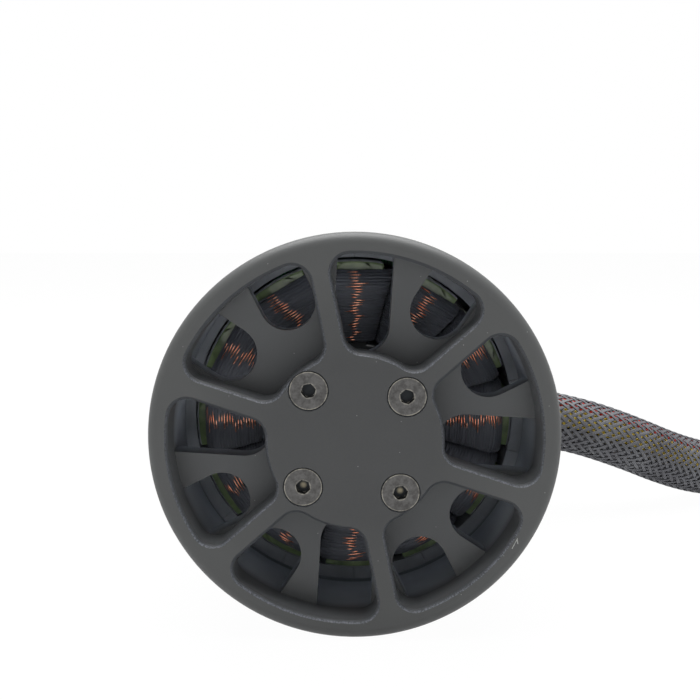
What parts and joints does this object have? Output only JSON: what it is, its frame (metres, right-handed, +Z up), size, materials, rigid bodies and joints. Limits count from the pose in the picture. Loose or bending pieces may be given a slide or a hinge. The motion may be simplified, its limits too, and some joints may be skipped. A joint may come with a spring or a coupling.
{
  "type": "electric skateboard motor",
  "caption": "Outrunner motor with a ribbed open bell, wound stator, keyed shaft, threaded mounting face and a sleeved cable with connectors.",
  "frame": {"origin": "centre of the mounting face, on the motor's axis", "axes": "+Y along the shaft, out of the mounting face; +Z up as the motor lies; the cable leaves towards +X"},
  "size_m": [0.2241, 0.1897, 0.063],
  "materials": {
    "bell_alloy": "matte black anodised, fine blasted grain",
    "base_alloy": "matte black anodised",
    "can_steel": "black coated steel tube",
    "screw_steel": "browned steel, turned heads",
    "shaft_steel": "ground steel",
    "shim_steel": "bright strip steel",
    "clip_steel": "blued spring steel",
    "stator_coating": "green powder coating on laminations",
    "copper": "enamelled copper wire",
    "lead_sleeving": "woven black sleeving",
    "magnet_coating": "dark glossy coating on magnets",
    "bearing_steel": "ground bearing steel",
    "ball_steel": "polished balls",
    "cage_steel": "pressed cage",
    "shield_steel": "pressed shields",
    "board": "green circuit board",
    "sensor_case": "moulded sensor cases",
    "grommet_rubber": "black rubber",
    "braid": "dark braided polyester sleeve over coloured wires",
    "shrink_tube": "black heat shrink tube",
    "wire_red": "red silicone insulation",
    "wire_yellow": "yellow silicone insulation",
    "wire_black": "black silicone insulation",
    "sensor_wire": "six thin insulated wires",
    "gold_plate": "gold plated connector",
    "plug_plastic": "cream nylon housing"
  },
  "bodies": {
    "stator": {"base_mount": "base_alloy", "stator_core": "stator_coating", "winding_a": "copper", "winding_b": "copper", "winding_c": "copper", "winding_ends": "lead_sleeving", "front_bearing_outer": "bearing_steel", "rear_bearing_outer": "bearing_steel", "front_bearing_shields": "shield_steel", "rear_bearing_shields": "shield_steel", "hall_board": "board", "hall_sensors": "sensor_case", "cable_grommet": "grommet_rubber", "cable_sleeve": "braid", "shrink_collar": "shrink_tube", "phase_wire_red": "wire_red", "phase_wire_yellow": "wire_yellow", "phase_wire_black": "wire_black", "bullet_red": "gold_plate", "bullet_yellow": "gold_plate", "bullet_black": "gold_plate", "sensor_wires": "sensor_wire", "sensor_plug": "plug_plastic"},
    "rotor": {"bell_cap": "bell_alloy", "bell_screws": "screw_steel", "flux_ring": "can_steel", "magnet_1": "magnet_coating", "magnet_2": "magnet_coating", "magnet_3": "magnet_coating", "magnet_4": "magnet_coating", "magnet_5": "magnet_coating", "magnet_6": "magnet_coating", "magnet_7": "magnet_coating", "magnet_8": "magnet_coating", "magnet_9": "magnet_coating", "magnet_10": "magnet_coating", "magnet_11": "magnet_coating", "magnet_12": "magnet_coating", "magnet_13": "magnet_coating", "magnet_14": "magnet_coating", "shaft": "shaft_steel", "front_shim": "shim_steel", "rear_shim": "shim_steel", "circlip": "clip_steel", "front_bearing_inner": "bearing_steel", "rear_bearing_inner": "bearing_steel"},
    "front_balls": {"front_bearing_balls": "ball_steel", "front_bearing_cage": "cage_steel"},
    "rear_balls": {"rear_bearing_balls": "ball_steel", "rear_bearing_cage": "cage_steel"}
  },
  "joints": [
    {"name": "rotor_spin", "type": "hinge", "parent": "stator", "child": "rotor", "pos_m": [0, 0, 0], "axis": [0, 1, 0], "continuous": true},
    {"name": "front_balls_spin", "type": "hinge", "parent": "stator", "child": "front_balls", "pos_m": [0, -0.0575, 0], "axis": [0, 1, 0], "continuous": true},
    {"name": "rear_balls_spin", "type": "hinge", "parent": "stator", "child": "rear_balls", "pos_m": [0, -0.006, 0], "axis": [0, 1, 0], "continuous": true}
  ],
  "couplings": [
    {"joint": "front_balls_spin", "follows": "rotor_spin", "ratio": 0.372},
    {"joint": "rear_balls_spin", "follows": "rotor_spin", "ratio": 0.372}
  ]
}
